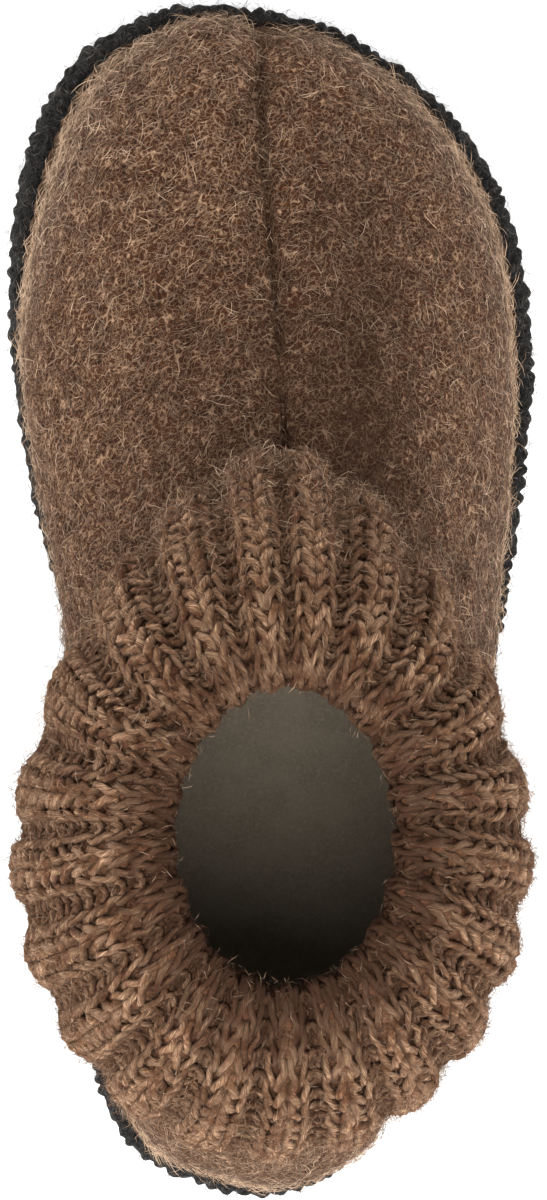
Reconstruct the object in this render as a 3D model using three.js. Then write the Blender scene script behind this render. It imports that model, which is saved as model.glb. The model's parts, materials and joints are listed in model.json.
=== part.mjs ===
// House slipper for the right foot. A felted wool upper with a seam down the toe stands on a thin rubber
// outsole, inside a black felt rim band. A grey felt insole lies in it, and a rib-knit cuff, sewn to the
// collar, is folded down over the ankle.
// Millimetres. +Z is up, the toe points to +Y, the inner side of the foot is -X and the floor is at z = 0.
import * as THREE from "three";

// Gap left between pieces that touch
const seatGap = 0.3;

// Outsole: a thin plate with a toe spring and a slightly hollow waist
const sole = {
  thickness: 4.2,
  inset: 1.2, // its edge stands inside the rim band's
  edgeRound: 1.1,
  toeSpring: 4.5, // lift of the toe tip
  springFrom: 62, // where the lift begins, measured from mid-length
  toeTip: 133.5,
  archHollow: 1.3, // how far the waist clears the floor
  archFrom: -62,
  archTo: 4,
};

// Rim band: a strip of felted knit that lies on the rim of the outsole, round the foot of the upper
const band = { width: 6.4, height: 8.2, stand: 0.35, lumps: 74, columnsPerLump: 3, lumpDepth: 0.55 };

// Upper: one felt wall from the foot of the shoe to the collar
const upper = { wall: 3.4, columns: 52, outerRows: 14, innerRows: 10 };

// Toe seam: a trough pressed into the upper, from just above the rim band to the collar
const seam = { depth: 2.3, width: 3.6, from: 0.05, full: 0.15, besideColumns: [2.4, 5.2, 9] };

// Insole: a felt plate inside the upper
const insole = { thickness: 4.5, edgeRound: 1.4 };

// Cuff: one rib-knit sheet, from the collar up to a soft fold and down to its hem
const cuff = { ribs: 21, columnsPerRib: 5, sheet: 4, ribDepth: 1.4, rows: 11, seamTurn: 0.12 };

// Outline of the rim band, from the back of the heel along the outer side to the toe, and back
const outlineRows = [
  { at: "heel back", x: -2.2, y: -133.5 },
  { at: "heel outer back", x: 10.5, y: -130.2 },
  { at: "heel outer corner", x: 20.7, y: -122.7 },
  { at: "heel outer side", x: 31.5, y: -96.5 },
  { at: "waist outer side", x: 41, y: -58 },
  { at: "midfoot outer side", x: 49.6, y: -18 },
  { at: "behind the outer ball", x: 56, y: 22 },
  { at: "outer ball", x: 58.6, y: 54 },
  { at: "little toe", x: 53.6, y: 86 },
  { at: "outer toe corner", x: 40, y: 109 },
  { at: "outer toe", x: 18, y: 125.3 },
  { at: "toe seam", x: -5.2, y: 131.8 },
  { at: "big toe", x: -25, y: 131.4 },
  { at: "inner toe corner", x: -44, y: 121 },
  { at: "big toe joint", x: -55.4, y: 100 },
  { at: "inner ball", x: -59.4, y: 66 },
  { at: "behind the inner ball", x: -54.6, y: 25 },
  { at: "midfoot inner side", x: -47.2, y: -5 },
  { at: "waist inner side", x: -42.6, y: -48 },
  { at: "heel inner side", x: -42.5, y: -96.5 },
  { at: "heel inner corner", x: -31.7, y: -122.7 },
  { at: "heel inner back", x: -16.5, y: -130.4 },
];
const toeSeamRow = outlineRows.findIndex((row) => row.at === "toe seam");

// Sections of the upper from its foot to the collar, by their share of the way round from the heel.
// The wall starts up and out by rise and out, and meets the collar from reach further out and dip lower.
const wallRows = [
  { at: 0.0, out: 12.5, rise: 44, reach: 4, dip: 18 },
  { at: 0.05, out: 16, rise: 42.5, reach: 3.4, dip: 18.5 },
  { at: 0.1, out: 18.5, rise: 39, reach: 3, dip: 20.5 },
  { at: 0.16, out: 14.5, rise: 33.5, reach: 3, dip: 26 },
  { at: 0.22, out: 9, rise: 29.5, reach: 6, dip: 30.5 },
  { at: 0.28, out: 6, rise: 28.5, reach: 13, dip: 31 },
  { at: 0.34, out: 6, rise: 30, reach: 24, dip: 32 },
  { at: 0.4, out: 9, rise: 36, reach: 45.5, dip: 37 },
  { at: 0.45, out: 13, rise: 41, reach: 61, dip: 41 },
  { at: 0.5, out: 16, rise: 44, reach: 68, dip: 43 },
  { at: 0.55, out: 7, rise: 41.5, reach: 61, dip: 40.5 },
  { at: 0.6, out: 4.5, rise: 37, reach: 45.5, dip: 36.5 },
  { at: 0.66, out: 13, rise: 32, reach: 24, dip: 32 },
  { at: 0.72, out: 6, rise: 30, reach: 13, dip: 31 },
  { at: 0.79, out: 5, rise: 30, reach: 5, dip: 30 },
  { at: 0.87, out: 9, rise: 36.5, reach: 3, dip: 23 },
  { at: 0.94, out: 11, rise: 42, reach: 3.2, dip: 18.5 },
];

// Ovals round the ankle. Each is widest, half on each side of midX, at midY, and reaches front and back
// from there. A nose below 2 draws its front in to a blunt point. z holds its heights at front, side and
// back. The cuff's sheet starts at cuffSeam, bends at innerTurn, folds at crest, bends at outerTurn and
// ends at hem.
const rings = {
  collar: { midX: -6, midY: -50, half: 38, front: 58, back: 55, nose: 1.9, z: [86, 79, 81] },
  cuffSeam: { midX: -6, midY: -50, half: 36.3, front: 56.3, back: 53.3, nose: 1.9, z: [86, 79, 81] },
  innerTurn: { midX: -6, midY: -46.5, half: 18.2, front: 22, back: 24, nose: 2, z: [119, 117, 116] },
  crest: { midX: -6, midY: -46.5, half: 28.5, front: 36, back: 36.5, nose: 1.9, z: [119, 117, 116] },
  outerTurn: { midX: -5.5, midY: -49, half: 48, front: 53, back: 60, nose: 1.8, z: [117, 116, 114] },
  hem: { midX: -5.2, midY: -52, half: 51.6, front: 81, back: 62.2, nose: 1.62, z: [82.4, 66, 70] },
};

// Colours and finishes
const finishes = {
  outsole: { color: 0x1b1a19, roughness: 0.8, metalness: 0 },
  rim_band: { color: 0x24211f, roughness: 0.95, metalness: 0 },
  upper: { color: 0x6b4d38, roughness: 0.95, metalness: 0 },
  insole: { color: 0x5c564a, roughness: 0.95, metalness: 0 },
  cuff: { color: 0x6f5039, roughness: 0.95, metalness: 0 },
};

// The outline as a smooth closed curve

const outlineCurve = new THREE.CatmullRomCurve3(
  outlineRows.map((row) => new THREE.Vector3(row.x, row.y, 0)),
  true,
  "centripetal",
);
outlineCurve.arcLengthDivisions = 1600;
const arcLengths = outlineCurve.getLengths();
const perimeter = arcLengths.at(-1);
const toeShare = arcLengths[(toeSeamRow / outlineRows.length) * outlineCurve.arcLengthDivisions] / perimeter;

// Point and outward direction on the outline, inset from it. The share is 0 at the heel and 0.5 at the
// toe seam.
function outlineAt(share, inset) {
  const s = share - Math.floor(share);
  const along = s < 0.5 ? 2 * s * toeShare : toeShare + (2 * s - 1) * (1 - toeShare);
  const point = outlineCurve.getPointAt(along);
  const tangent = outlineCurve.getTangentAt(along);
  const outward = new THREE.Vector3(tangent.y, -tangent.x, 0).normalize();
  return { point: point.addScaledVector(outward, -inset), outward };
}

// Lift of everything that lies on the sole, from the toe spring
function springAt(y) {
  const share = THREE.MathUtils.clamp((y - sole.springFrom) / (sole.toeTip - sole.springFrom), 0, 1);
  return sole.toeSpring * share * share;
}

// Hollow under the waist, nothing at heel and ball
function hollowAt(y) {
  const share = THREE.MathUtils.clamp((y - sole.archFrom) / (sole.archTo - sole.archFrom), 0, 1);
  return sole.archHollow * Math.sin(Math.PI * share) ** 2;
}

// A column of a table read at any share of the way round, as a smooth closed curve through its rows
function readAround(rows, column, share) {
  const count = rows.length;
  const turn = (k) => Math.floor(k / count);
  const at = (k) => rows[k - turn(k) * count].at + turn(k);
  const value = (k) => rows[k - turn(k) * count][column];
  const slope = (k) => (value(k + 1) - value(k - 1)) / (at(k + 1) - at(k - 1));
  const s = share - Math.floor(share);
  let k = count - 1;
  while (at(k) > s) k -= 1;
  const span = at(k + 1) - at(k);
  const t = (s - at(k)) / span;
  const rest = 1 - t;
  return (
    (1 + 2 * t) * rest * rest * value(k) +
    t * rest * rest * span * slope(k) +
    t * t * (3 - 2 * t) * value(k + 1) -
    t * t * rest * span * slope(k + 1)
  );
}

// Point on an oval round the ankle, from the back along the outer side to the front
function ovalAt(ring, share) {
  const angle = 2 * Math.PI * share;
  const across = Math.sin(angle);
  const behind = Math.cos(angle);
  const power = behind > 0 ? 1 : 2 / ring.nose;
  const x = ring.midX + ring.half * Math.sign(across) * Math.abs(across) ** power;
  const reach = behind > 0 ? ring.back : ring.front;
  const y = ring.midY - Math.sign(behind) * Math.abs(behind) ** power * reach;
  const [zFront, zSide, zBack] = ring.z;
  const zEnd = behind > 0 ? zBack : zFront;
  return new THREE.Vector3(x, y, zSide + (zEnd - zSide) * behind * behind);
}

// The upper's outer face, from its foot at height 0 to the collar at height 1
const footInset = band.width + seatGap;
function smoothUpperAt(share, height) {
  const { point: foot, outward } = outlineAt(share, footInset);
  foot.z = sole.thickness + seatGap + springAt(foot.y);
  const collar = ovalAt(rings.collar, share);
  const read = (column) => readAround(wallRows, column, share);
  const apart = foot.clone().sub(collar).setZ(0).normalize();
  const start = foot.clone().addScaledVector(outward, read("out"));
  start.z += read("rise");
  const end = collar.clone().addScaledVector(apart, read("reach"));
  end.z -= read("dip");
  return new THREE.CubicBezierCurve3(foot, start, end, collar).getPoint(height);
}

// Outward direction of the upper's face, from its two slopes
const probe = 1e-3;
function upperNormalAt(share, height) {
  const low = Math.max(height - probe, 0);
  const high = Math.min(height + probe, 1);
  const around = smoothUpperAt(share + probe, height).sub(smoothUpperAt(share - probe, height));
  const up = smoothUpperAt(share, high).sub(smoothUpperAt(share, low));
  return around.cross(up).normalize();
}

// The face with the trough of the toe seam pressed into it, moved inwards by depth
function upperAt(share, height, depth) {
  const fromSeam = (share - 0.5) * perimeter;
  const shown = THREE.MathUtils.smoothstep(height, seam.from, seam.full);
  const trough = seam.depth * shown * Math.exp(-((fromSeam / seam.width) ** 2));
  return smoothUpperAt(share, height).addScaledVector(upperNormalAt(share, height), -trough - depth);
}

// A closed ring of columns, each a closed loop of points
function ringGeometry(loops) {
  const rows = loops[0].length;
  const positions = loops.flat().flatMap((p) => [p.x, p.y, p.z]);
  const index = [];
  loops.forEach((_, i) => {
    const next = (i + 1) % loops.length;
    for (let j = 0; j < rows; j += 1) {
      const up = (j + 1) % rows;
      const [a, b, c, d] = [i * rows + j, next * rows + j, next * rows + up, i * rows + up];
      index.push(a, b, c, a, c, d);
    }
  });
  return indexedGeometry(positions, index);
}

// A plate between stacked outlines, its two faces closed by strips from side to side
function plateGeometry(outlines) {
  const count = outlines[0].length;
  const positions = outlines.flat().flatMap((p) => [p.x, p.y, p.z]);
  const index = [];
  for (let level = 0; level + 1 < outlines.length; level += 1) {
    for (let i = 0; i < count; i += 1) {
      const next = (i + 1) % count;
      const [low, high] = [level * count, (level + 1) * count];
      const [a, b, c, d] = [low + i, low + next, high + next, high + i];
      index.push(a, b, c, a, c, d);
    }
  }
  const top = (outlines.length - 1) * count;
  for (let i = 0; i < count / 2; i += 1) {
    const [a, b, c, d] = [i, i + 1, count - i - 1, (count - i) % count];
    if (i > 0) index.push(a, c, b, a, d, c, top + a, top + b, top + c, top + a, top + c, top + d);
    else index.push(a, c, b, top + a, top + b, top + c);
  }
  return indexedGeometry(positions, dropEmpty(index));
}

// Leaves out triangles that name one corner twice, as the strips do at heel and toe
function dropEmpty(index) {
  const kept = [];
  for (let i = 0; i < index.length; i += 3) {
    const [a, b, c] = index.slice(i, i + 3);
    if (a !== b && b !== c && c !== a) kept.push(a, b, c);
  }
  return kept;
}

function indexedGeometry(positions, index) {
  const geometry = new THREE.BufferGeometry();
  geometry.setAttribute("position", new THREE.Float32BufferAttribute(positions, 3));
  geometry.setIndex(index);
  geometry.computeVertexNormals();
  return geometry;
}

const shares = (count) => Array.from({ length: count }, (_, i) => i / count);

// Columns of the upper and the plates: even, with a few more beside the toe seam
const besideSeam = seam.besideColumns.flatMap((mm) => [0.5 - mm / perimeter, 0.5 + mm / perimeter]);
const columnShares = [...shares(upper.columns), ...besideSeam].sort((a, b) => a - b);

function outsoleGeometry() {
  const level = (inset, height) =>
    columnShares.map((share) => {
      const { point } = outlineAt(share, sole.inset + inset);
      const lift = springAt(point.y) + (height < sole.thickness / 2 ? hollowAt(point.y) : 0);
      return point.setZ(height + lift);
    });
  return plateGeometry([
    level(sole.edgeRound, 0),
    level(0, sole.edgeRound),
    level(0, sole.thickness - sole.edgeRound / 2),
    level(sole.edgeRound / 2, sole.thickness),
  ]);
}

function insoleGeometry() {
  const edge = footInset + upper.wall + seatGap;
  const base = sole.thickness + seatGap;
  const level = (inset, height) =>
    columnShares.map((share) => {
      const { point } = outlineAt(share, edge + inset);
      return point.setZ(base + height + springAt(point.y));
    });
  return plateGeometry([
    level(0, 0),
    level(0, insole.thickness - insole.edgeRound),
    level(insole.edgeRound / 3, insole.thickness - insole.edgeRound / 3),
    level(insole.edgeRound, insole.thickness),
  ]);
}

// Place on the upper's lower wall at a height above the floor, found by halving
const halvings = 24;
function upperFaceAt(share, z) {
  let [low, high] = [0, 0.5];
  for (let turn = 0; turn < halvings; turn += 1) {
    const middle = (low + high) / 2;
    if (smoothUpperAt(share, middle).z < z) low = middle;
    else high = middle;
  }
  return smoothUpperAt(share, low);
}

// The band's section: flat below, following the upper inside, round outside, with lumps along its outer edge
function bandGeometry() {
  const outside = [
    { inset: 0.1, height: 0, lump: 0.6 },
    { inset: 0, height: 0.32, lump: 1 },
    { inset: 0.1, height: 0.68, lump: 1 },
    { inset: 0.28, height: 0.94, lump: 0.7 },
  ];
  const inside = [1, 0.5, 0];
  const bottom = sole.thickness + seatGap;
  const columns = band.lumps * band.columnsPerLump;
  const loops = shares(columns).map((share) => {
    const wave = (1 - Math.cos(2 * Math.PI * band.lumps * share)) / 2;
    const outer = outside.map((corner) => {
      const { point } = outlineAt(share, corner.inset * band.width + band.lumpDepth * corner.lump * wave);
      return point.setZ(bottom + springAt(point.y) + band.height * corner.height);
    });
    const inner = inside.map((height) => {
      const { point, outward } = outlineAt(share, footInset);
      const z = bottom + springAt(point.y) + band.height * height;
      return upperFaceAt(share, z).setZ(z).addScaledVector(outward, band.stand);
    });
    return [...outer, ...inner];
  });
  return ringGeometry(loops);
}

function upperGeometry() {
  const loops = columnShares.map((share) => {
    const outer = Array.from({ length: upper.outerRows }, (_, j) =>
      upperAt(share, j / (upper.outerRows - 1), 0),
    );
    const inner = Array.from({ length: upper.innerRows }, (_, j) =>
      upperAt(share, 1 - j / (upper.innerRows - 1), upper.wall),
    );
    inner.at(-1).z = outer[0].z;
    return [...outer, ...inner];
  });
  return ringGeometry(loops);
}

// Middle of the cuff's sheet, from the collar over the fold to the hem
function sheetAt(share, along) {
  const ring = (name) => ovalAt(rings[name], share);
  const curve =
    along < 0.5
      ? new THREE.QuadraticBezierCurve3(ring("cuffSeam"), ring("innerTurn"), ring("crest"))
      : new THREE.QuadraticBezierCurve3(ring("crest"), ring("outerTurn"), ring("hem"));
  return curve.getPoint(along < 0.5 ? 2 * along : 2 * along - 1);
}

// Direction out of the sheet's face, level at the collar so that the sheet stands square on it
function sheetNormalAt(share, along) {
  const low = Math.max(along - probe, 0);
  const high = Math.min(along + probe, 1);
  const around = sheetAt(share + probe, along).sub(sheetAt(share - probe, along));
  const up = sheetAt(share, high).sub(sheetAt(share, low));
  const normal = up.cross(around).normalize();
  const square = THREE.MathUtils.smoothstep(along, 0, cuff.seamTurn);
  return normal.setZ(normal.z * square).normalize();
}

function cuffGeometry() {
  const seat = new THREE.Vector3(0, 0, seatGap);
  const loops = shares(cuff.ribs * cuff.columnsPerRib).map((share) => {
    const rib = cuff.ribDepth * Math.cos(2 * Math.PI * cuff.ribs * share);
    const face = (along, side) =>
      sheetAt(share, along)
        .add(seat)
        .addScaledVector(sheetNormalAt(share, along), rib + (side * cuff.sheet) / 2);
    const steps = Array.from({ length: cuff.rows }, (_, j) => j / (cuff.rows - 1));
    return [...steps.map((along) => face(along, -1)), ...steps.reverse().map((along) => face(along, 1))];
  });
  return ringGeometry(loops);
}

// The assembly, with its origin on the floor under the middle of its box

const slipper = new THREE.Group();
const pieces = {
  outsole: outsoleGeometry(),
  rim_band: bandGeometry(),
  upper: upperGeometry(),
  insole: insoleGeometry(),
  cuff: cuffGeometry(),
};
for (const [name, geometry] of Object.entries(pieces)) {
  const mesh = new THREE.Mesh(geometry, new THREE.MeshStandardMaterial(finishes[name]));
  mesh.name = name;
  slipper.add(mesh);
}
const middle = new THREE.Box3().setFromObject(slipper).getCenter(new THREE.Vector3());
slipper.position.set(-middle.x, -middle.y, 0);

export default slipper;
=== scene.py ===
# House slipper for the right foot: felted upper, rim band, rib-knit cuff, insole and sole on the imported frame
import json
import math

import bpy
import numpy as np
from mathutils import Matrix, Vector, noise

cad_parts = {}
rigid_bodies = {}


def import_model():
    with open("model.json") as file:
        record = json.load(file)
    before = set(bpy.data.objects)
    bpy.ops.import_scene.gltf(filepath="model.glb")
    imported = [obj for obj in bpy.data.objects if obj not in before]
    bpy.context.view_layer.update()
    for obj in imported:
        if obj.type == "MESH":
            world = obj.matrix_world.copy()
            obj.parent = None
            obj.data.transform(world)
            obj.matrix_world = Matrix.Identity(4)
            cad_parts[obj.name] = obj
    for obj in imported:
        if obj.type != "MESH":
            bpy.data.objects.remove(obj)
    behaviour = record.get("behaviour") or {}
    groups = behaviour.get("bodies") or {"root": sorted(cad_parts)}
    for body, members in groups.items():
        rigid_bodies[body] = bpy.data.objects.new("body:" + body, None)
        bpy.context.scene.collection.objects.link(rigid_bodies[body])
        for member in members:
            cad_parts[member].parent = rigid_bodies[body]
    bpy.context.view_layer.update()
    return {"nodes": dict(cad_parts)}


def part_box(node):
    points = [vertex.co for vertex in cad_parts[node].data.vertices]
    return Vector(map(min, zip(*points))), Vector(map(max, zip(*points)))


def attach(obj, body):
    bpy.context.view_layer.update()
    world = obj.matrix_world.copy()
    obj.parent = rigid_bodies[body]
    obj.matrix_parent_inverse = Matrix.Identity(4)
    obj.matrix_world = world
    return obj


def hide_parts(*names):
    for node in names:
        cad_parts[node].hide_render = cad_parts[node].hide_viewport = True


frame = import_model()
scene = bpy.context.scene
mm = 0.001
print("frame loaded:", sorted(frame["nodes"]))

# Shape of the shoe, in mm: the same rules and rows as the solids, so that each piece lies where its node is

seatGap = 0.3
sole = {"thickness": 4.2, "inset": 1.2, "toeSpring": 4.5, "springFrom": 62, "toeTip": 133.5,
        "archHollow": 1.3, "archFrom": -62, "archTo": 4}
band = {"width": 6.4, "height": 8.2, "stand": 0.35}
footInset = band["width"] + seatGap

# Plan of the rim band (x, y), from the back of the heel along the outer side to the toe and back
outlineRows = np.array([
    (-2.2, -133.5), (10.5, -130.2), (20.7, -122.7), (31.5, -96.5), (41, -58), (49.6, -18), (56, 22),
    (58.6, 54), (53.6, 86), (40, 109), (18, 125.3), (-5.2, 131.8), (-25, 131.4), (-44, 121), (-55.4, 100),
    (-59.4, 66), (-54.6, 25), (-47.2, -5), (-42.6, -48), (-42.5, -96.5), (-31.7, -122.7), (-16.5, -130.4)])
toeSeamRow = 11
toeShare = 0.5
outlineSamples = 4000

# Sections of the upper: share of the way round, then how the wall leaves its foot and meets the collar
wallColumns = {"out": 1, "rise": 2, "reach": 3, "dip": 4}
wallRows = np.array([
    (0.0, 12.5, 44, 4, 18), (0.05, 16, 42.5, 3.4, 18.5), (0.1, 18.5, 39, 3, 20.5), (0.16, 14.5, 33.5, 3, 26),
    (0.22, 9, 29.5, 6, 30.5), (0.28, 6, 28.5, 13, 31), (0.34, 6, 30, 24, 32), (0.4, 9, 36, 45.5, 37),
    (0.45, 13, 41, 61, 41), (0.5, 16, 44, 68, 43), (0.55, 7, 41.5, 61, 40.5), (0.6, 4.5, 37, 45.5, 36.5),
    (0.66, 13, 32, 24, 32), (0.72, 6, 30, 13, 31), (0.79, 5, 30, 5, 30), (0.87, 9, 36.5, 3, 23),
    (0.94, 11, 42, 3.2, 18.5)])

# Ovals round the ankle
ringColumns = ("midX", "midY", "half", "front", "back", "nose", "zFront", "zSide", "zBack")
rings = {
    "collar": (-6, -50, 38, 58, 55, 1.9, 86, 79, 81),
    "cuffSeam": (-6, -50, 36.3, 56.3, 53.3, 1.9, 86, 79, 81),
    "innerTurn": (-6, -46.5, 18.2, 22, 24, 2, 119, 117, 116),
    "crest": (-6, -46.5, 28.5, 36, 36.5, 1.9, 119, 117, 116),
    "outerTurn": (-5.5, -49, 48, 53, 60, 1.8, 117, 116, 114),
    "hem": (-5.2, -52, 51.6, 81, 62.2, 1.62, 82.4, 66, 70),
}
rings = {name: dict(zip(ringColumns, row)) for name, row in rings.items()}


def smoothstep(low, high, x):
    t = np.clip((x - low) / (high - low), 0, 1)
    return t * t * (3 - 2 * t)


# Full at 0, falling off on both sides
def bell(x, width):
    return np.exp(-((x / width) ** 2))


# From a lowest value at share 0 up to 1
def rising(low, share):
    return low + (1 - low) * share


# Centripetal closed curve through the rows, as dense points
def closedCurve(rows, perSpan=240):
    p0, p1, p2, p3 = (np.roll(rows, k, 0)[:, None, :] for k in (1, 0, -1, -2))
    pairs = ((p0, p1), (p1, p2), (p2, p3))
    d0, d1, d2 = (np.linalg.norm(b - a, axis=2, keepdims=True) ** 0.5 for a, b in pairs)
    leave = ((p1 - p0) / d0 - (p2 - p0) / (d0 + d1) + (p2 - p1) / d1) * d1
    meet = ((p2 - p1) / d1 - (p3 - p1) / (d1 + d2) + (p3 - p2) / d2) * d1
    t = np.linspace(0, 1, perSpan, endpoint=False)[None, :, None]
    square = -3 * p1 + 3 * p2 - 2 * leave - meet
    cube = 2 * p1 - 2 * p2 + leave + meet
    return (p1 + leave * t + square * t**2 + cube * t**3).reshape(-1, 2), perSpan


outlinePoints, perSpan = closedCurve(outlineRows)
steps = np.linalg.norm(np.roll(outlinePoints, -1, 0) - outlinePoints, axis=1)
lengths = np.concatenate([[0], np.cumsum(steps)])
perimeter = lengths[-1]
toeLength = lengths[toeSeamRow * perSpan]
# share 0 at the heel, toeShare at the toe seam
outlineShares = np.where(lengths < toeLength, toeShare * lengths / toeLength,
                         toeShare + (1 - toeShare) * (lengths - toeLength) / (perimeter - toeLength))
outlineLoop = np.vstack([outlinePoints, outlinePoints[:1]])
tangents = np.roll(outlinePoints, -1, 0) - np.roll(outlinePoints, 1, 0)
tangents = np.vstack([tangents, tangents[:1]])


# Point of the plan at a share, set in by a distance, with its outward direction
def outlineAt(share, inset):
    s = np.mod(share, 1)
    x, y, tx, ty = (np.interp(s, outlineShares, column) for column in (*outlineLoop.T, *tangents.T))
    size = np.hypot(tx, ty)
    outward = np.stack([ty / size, -tx / size], -1)
    return np.stack([x, y], -1) - outward * np.asarray(inset)[..., None], outward


# How far the toe is lifted
def springAt(y):
    share = np.clip((y - sole["springFrom"]) / (sole["toeTip"] - sole["springFrom"]), 0, 1)
    return sole["toeSpring"] * share**2


# How far the waist is off the floor
def hollowAt(y):
    share = np.clip((y - sole["archFrom"]) / (sole["archTo"] - sole["archFrom"]), 0, 1)
    return sole["archHollow"] * np.sin(np.pi * share) ** 2


# One column of the wall's sections at a share, smooth all the way round
def readAround(column, share):
    at = wallRows[:, 0]
    value = wallRows[:, wallColumns[column]]
    at = np.concatenate([at[-2:] - 1, at, at[:2] + 1])
    value = np.concatenate([value[-2:], value, value[:2]])
    slope = np.zeros_like(value)
    slope[1:-1] = (value[2:] - value[:-2]) / (at[2:] - at[:-2])
    s = np.mod(share, 1)
    k = np.searchsorted(at, s, side="right") - 1
    span = at[k + 1] - at[k]
    t = (s - at[k]) / span
    rest = 1 - t
    return ((1 + 2 * t) * rest**2 * value[k] + t * rest**2 * span * slope[k]
            + t**2 * (3 - 2 * t) * value[k + 1] - t**2 * rest * span * slope[k + 1])


def ovalAt(name, share):
    ring = rings[name]
    across = np.sin(2 * np.pi * share)
    behind = np.cos(2 * np.pi * share)
    power = np.where(behind > 0, 1, 2 / ring["nose"])
    x = ring["midX"] + ring["half"] * np.sign(across) * np.abs(across) ** power
    reach = np.where(behind > 0, ring["back"], ring["front"])
    y = ring["midY"] - np.sign(behind) * np.abs(behind) ** power * reach
    zEnd = np.where(behind > 0, ring["zBack"], ring["zFront"])
    return np.stack([x, y, ring["zSide"] + (zEnd - ring["zSide"]) * behind**2], -1)


# Outer face of the upper, from its foot (height 0) to the collar (height 1)
def upperAt(share, height):
    foot, outward = outlineAt(share, np.full(share.shape, footInset))
    footZ = sole["thickness"] + seatGap + springAt(foot[..., 1])
    foot = np.concatenate([foot, footZ[..., None]], -1)
    collar = ovalAt("collar", share)
    apart = foot[..., :2] - collar[..., :2]
    apart = apart / np.linalg.norm(apart, axis=-1, keepdims=True)
    start = foot.copy()
    start[..., :2] += outward * readAround("out", share)[..., None]
    start[..., 2] += readAround("rise", share)
    end = collar.copy()
    end[..., :2] += apart * readAround("reach", share)[..., None]
    end[..., 2] -= readAround("dip", share)
    t = height[..., None]
    return (1 - t) ** 3 * foot + 3 * t * (1 - t) ** 2 * start + 3 * t**2 * (1 - t) * end + t**3 * collar


# Middle of the cuff's sheet, from the collar (along 0) over the fold (0.5) to the hem (1)
def sheetAt(share, along):
    inner = along < 0.5
    t = np.where(inner, 2 * along, 2 * along - 1)[..., None]
    pick = inner[..., None]
    a = np.where(pick, ovalAt("cuffSeam", share), ovalAt("crest", share))
    b = np.where(pick, ovalAt("innerTurn", share), ovalAt("outerTurn", share))
    c = np.where(pick, ovalAt("crest", share), ovalAt("hem", share))
    middle = (1 - t) ** 2 * a + 2 * t * (1 - t) * b + t**2 * c
    return middle + np.array([0, 0, seatGap])


# Outward direction of a surface, from its slopes both ways
def normalsOf(surface, share, height, probe=1e-3):
    low = np.clip(height - probe, 0, 1)
    high = np.clip(height + probe, 0, 1)
    around = surface(share + probe, height) - surface(share - probe, height)
    up = surface(share, high) - surface(share, low)
    normal = np.cross(around, up)
    return normal / np.linalg.norm(normal, axis=-1, keepdims=True)


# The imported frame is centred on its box, so its place comes from the sole's own node
soleLow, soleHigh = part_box("outsole")
ownSole = outlineAt(np.linspace(0, 1, outlineSamples), np.full(outlineSamples, sole["inset"]))[0]
ownMiddle = (ownSole.min(0) + ownSole.max(0)) / 2
place = np.array([(soleLow.x + soleHigh.x) / 2, (soleLow.y + soleHigh.y) / 2]) - ownMiddle * mm
place = np.array([place[0], place[1], 0])
print("place of the last's frame, mm:", np.round(place / mm, 2))

# Mesh helpers


def addObject(name, mesh, material=None):
    obj = bpy.data.objects.new(name, mesh)
    scene.collection.objects.link(obj)
    if material:
        mesh.materials.append(material)
    return obj


# A ring of columns, each a closed loop of points, as one closed quad mesh
def ringMesh(name, loops, attributes=None):
    columns, rows = loops.shape[:2]
    i, j = np.meshgrid(np.arange(columns), np.arange(rows), indexing="ij")
    nextI = (i + 1) % columns
    nextJ = (j + 1) % rows
    corners = [i * rows + j, nextI * rows + j, nextI * rows + nextJ, i * rows + nextJ]
    faces = np.stack(corners, -1).reshape(-1, 4)
    return finishMesh(name, loops.reshape(-1, 3), faces.tolist(), attributes)


# A plate between stacked outlines, closed above and below by strips from side to side
def plateMesh(name, levels, across):
    count = levels[0].shape[0]
    half = count // 2
    points = [np.concatenate(levels)]
    faces = []
    for level in range(len(levels) - 1):
        low, high = level * count, (level + 1) * count
        faces += [(low + i, low + (i + 1) % count, high + (i + 1) % count, high + i) for i in range(count)]
    base = len(levels) * count
    for level, turned in ((0, True), (len(levels) - 1, False)):
        ring = levels[level]
        # inner points of each strip, from the outer side to the inner side
        rowIndex = []
        for i in range(1, half):
            a, b = ring[i], ring[count - i]
            share = np.linspace(0, 1, across + 1)[1:-1, None]
            points.append(a + (b - a) * share)
            rowIndex.append([level * count + i, *range(base, base + across - 1), level * count + count - i])
            base += across - 1
        heel, toe = level * count, level * count + half
        caps = [(rowIndex[0][k + 1], heel, rowIndex[0][k]) for k in range(across)]
        caps += [(rowIndex[-1][k], toe, rowIndex[-1][k + 1]) for k in range(across)]
        for rowA, rowB in zip(rowIndex, rowIndex[1:]):
            caps += [(rowA[k], rowB[k], rowB[k + 1], rowA[k + 1]) for k in range(across)]
        faces += [tuple(reversed(face)) if turned else face for face in caps]
    return finishMesh(name, np.concatenate(points), faces)


# Closed runs of yarn, each a course number with its path, thickness, outward side and crest, for a tree
def runsMesh(name, runs):
    edges = []
    for _, (path, *_) in runs:
        start = len(edges)
        count = len(path)
        edges += [(start + i, start + (i + 1) % count) for i in range(count)]
    courses = np.concatenate([np.full(len(run[0]), float(course)) for course, run in runs])
    points, thick, outs, crests = (np.concatenate(column) for column in zip(*(run for _, run in runs)))
    mesh = bpy.data.meshes.new(name)
    mesh.from_pydata((points * mm + place).tolist(), edges, [])
    for key, values in (("thick", thick * mm), ("course", courses), ("crest", crests)):
        writeValues(mesh, key, values)
    mesh.attributes.new("out", "FLOAT_VECTOR", "POINT").data.foreach_set("vector", np.ravel(outs))
    return mesh


def finishMesh(name, points, faces, attributes=None):
    mesh = bpy.data.meshes.new(name)
    mesh.from_pydata((points * mm + place).tolist(), [], faces)
    for key, values in (attributes or {}).items():
        writeValues(mesh, key, values)
    mesh.validate()
    mesh.shade_smooth()
    return mesh


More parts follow.
